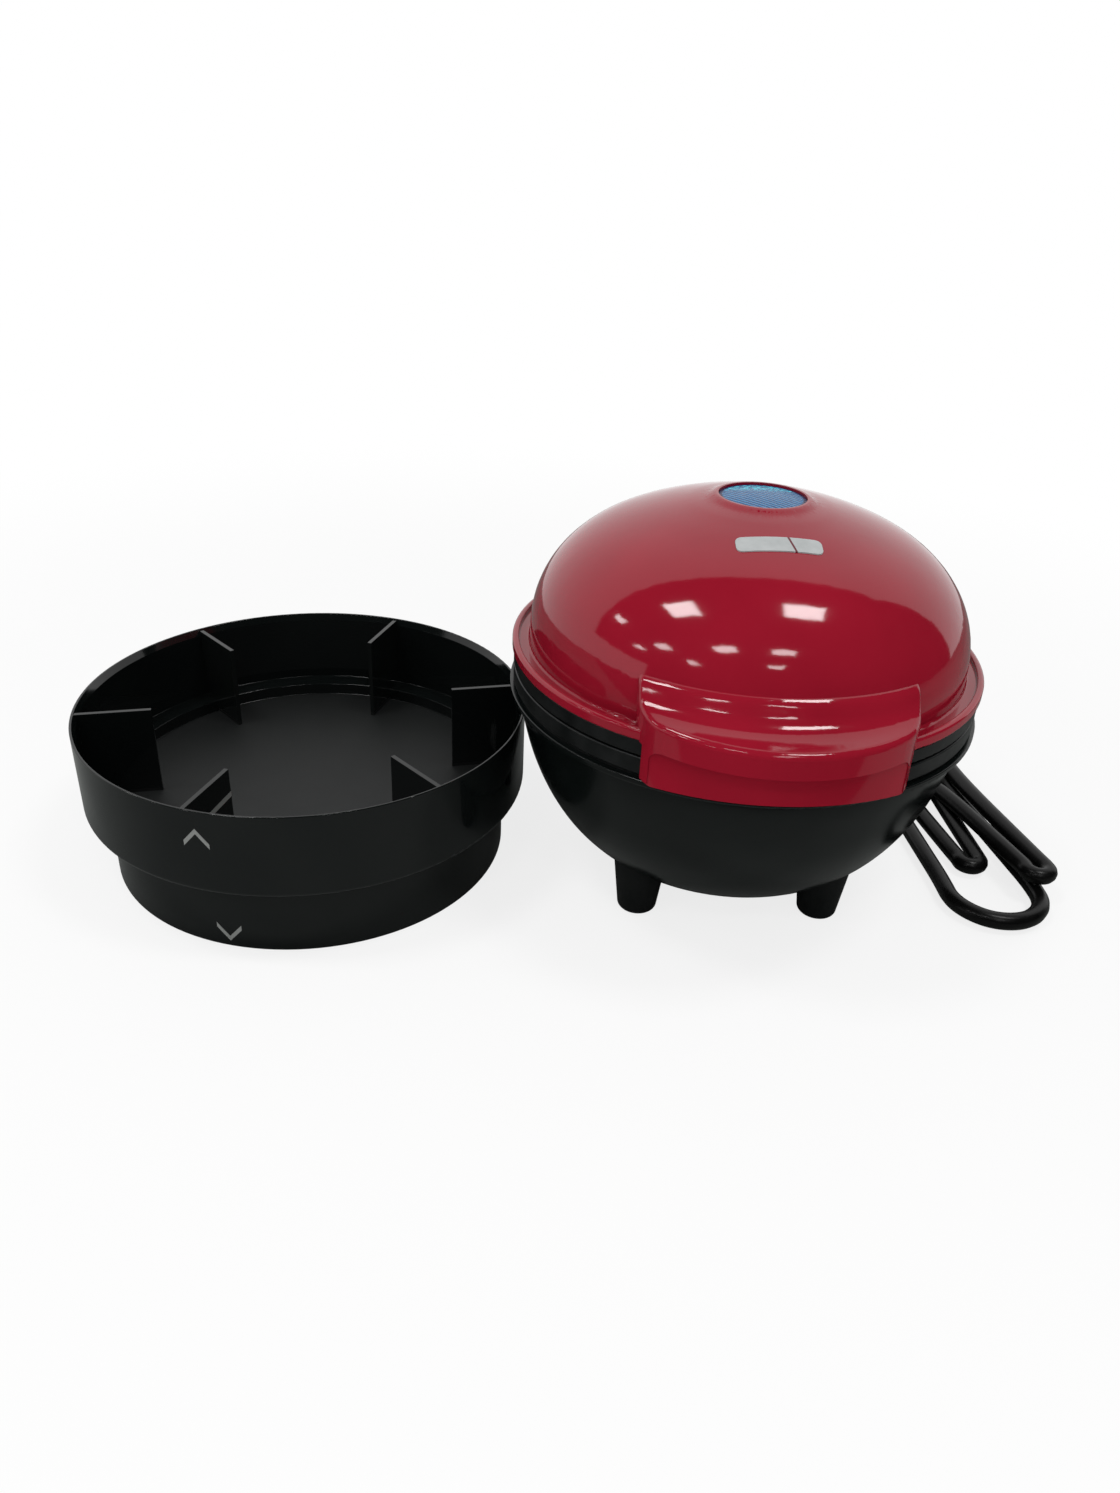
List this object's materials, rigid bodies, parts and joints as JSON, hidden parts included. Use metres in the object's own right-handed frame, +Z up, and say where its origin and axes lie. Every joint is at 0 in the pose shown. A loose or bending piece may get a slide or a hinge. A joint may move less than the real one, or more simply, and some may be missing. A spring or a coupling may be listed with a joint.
{
  "type": "mini pie maker",
  "caption": "Small round electric pie maker with a hinged domed lid, indicator lens, scoop handle, tied power cord and a loose two-sided crust cutter.",
  "frame": {"origin": "on the floor, at the middle of the outline of maker and cutter without the cord", "axes": "+Z up, -Y out of the handle, +X towards the tied cord"},
  "size_m": [0.2889, 0.2204, 0.1125],
  "materials": {
    "red_enamel": "gloss",
    "blue_lens": "polished",
    "badge_silver": "satin",
    "gloss_black": "gloss",
    "black_plastic": "matte",
    "foot_plastic": "matte",
    "cutter_plastic": "gloss",
    "cooking_plate": "satin",
    "heater_steel": "satin",
    "sheet_steel": "satin",
    "screw_steel": "satin",
    "inner_plastic": "matte",
    "lamp_glass": "polished",
    "lead_sleeve": "matte",
    "cord_rubber": "matte",
    "tie_plastic": "matte",
    "plug_plastic": "matte",
    "blade_brass": "polished"
  },
  "bodies": {
    "base": {"base_shell": "gloss_black", "hinge_pin": "screw_steel", "base_ring": "black_plastic", "lower_plate": "cooking_plate", "lower_element": "heater_steel", "lower_heat_shield": "sheet_steel", "lower_plate_screws": "screw_steel", "thermostat": "inner_plastic", "terminal_block": "inner_plastic", "base_leads": "lead_sleeve", "foot_front_left": "foot_plastic", "foot_front_right": "foot_plastic", "foot_back_left": "foot_plastic", "foot_back_right": "foot_plastic", "foot_screws": "screw_steel", "strain_relief": "cord_rubber", "cord": "cord_rubber", "cord_hank": "cord_rubber", "cord_tie": "tie_plastic", "cord_tail": "cord_rubber", "plug_body": "plug_plastic", "plug_blades": "blade_brass"},
    "lid": {"lid_shell": "red_enamel", "indicator_lens": "blue_lens", "lamp_holder": "inner_plastic", "indicator_lamp": "lamp_glass", "badge": "badge_silver", "lid_ring": "black_plastic", "upper_plate": "cooking_plate", "upper_element": "heater_steel", "upper_heat_shield": "sheet_steel", "upper_plate_screws": "screw_steel", "lid_screws": "screw_steel", "thermal_fuse": "screw_steel", "fuse_clip": "sheet_steel", "lid_leads": "lead_sleeve"},
    "cutter": {"crust_cutter": "cutter_plastic"}
  },
  "joints": [
    {"name": "lid_hinge", "type": "hinge", "parent": "base", "child": "lid", "pos_m": [0.06152, 0.06545, 0.069], "axis": [-1, 0, 0], "range_deg": [0, 100]},
    {"name": "cutter_lift", "type": "slide", "parent": "base", "child": "cutter", "axis": [-0.4991, 0.027, 0.8661], "range_m": [0, 0.12]}
  ]
}
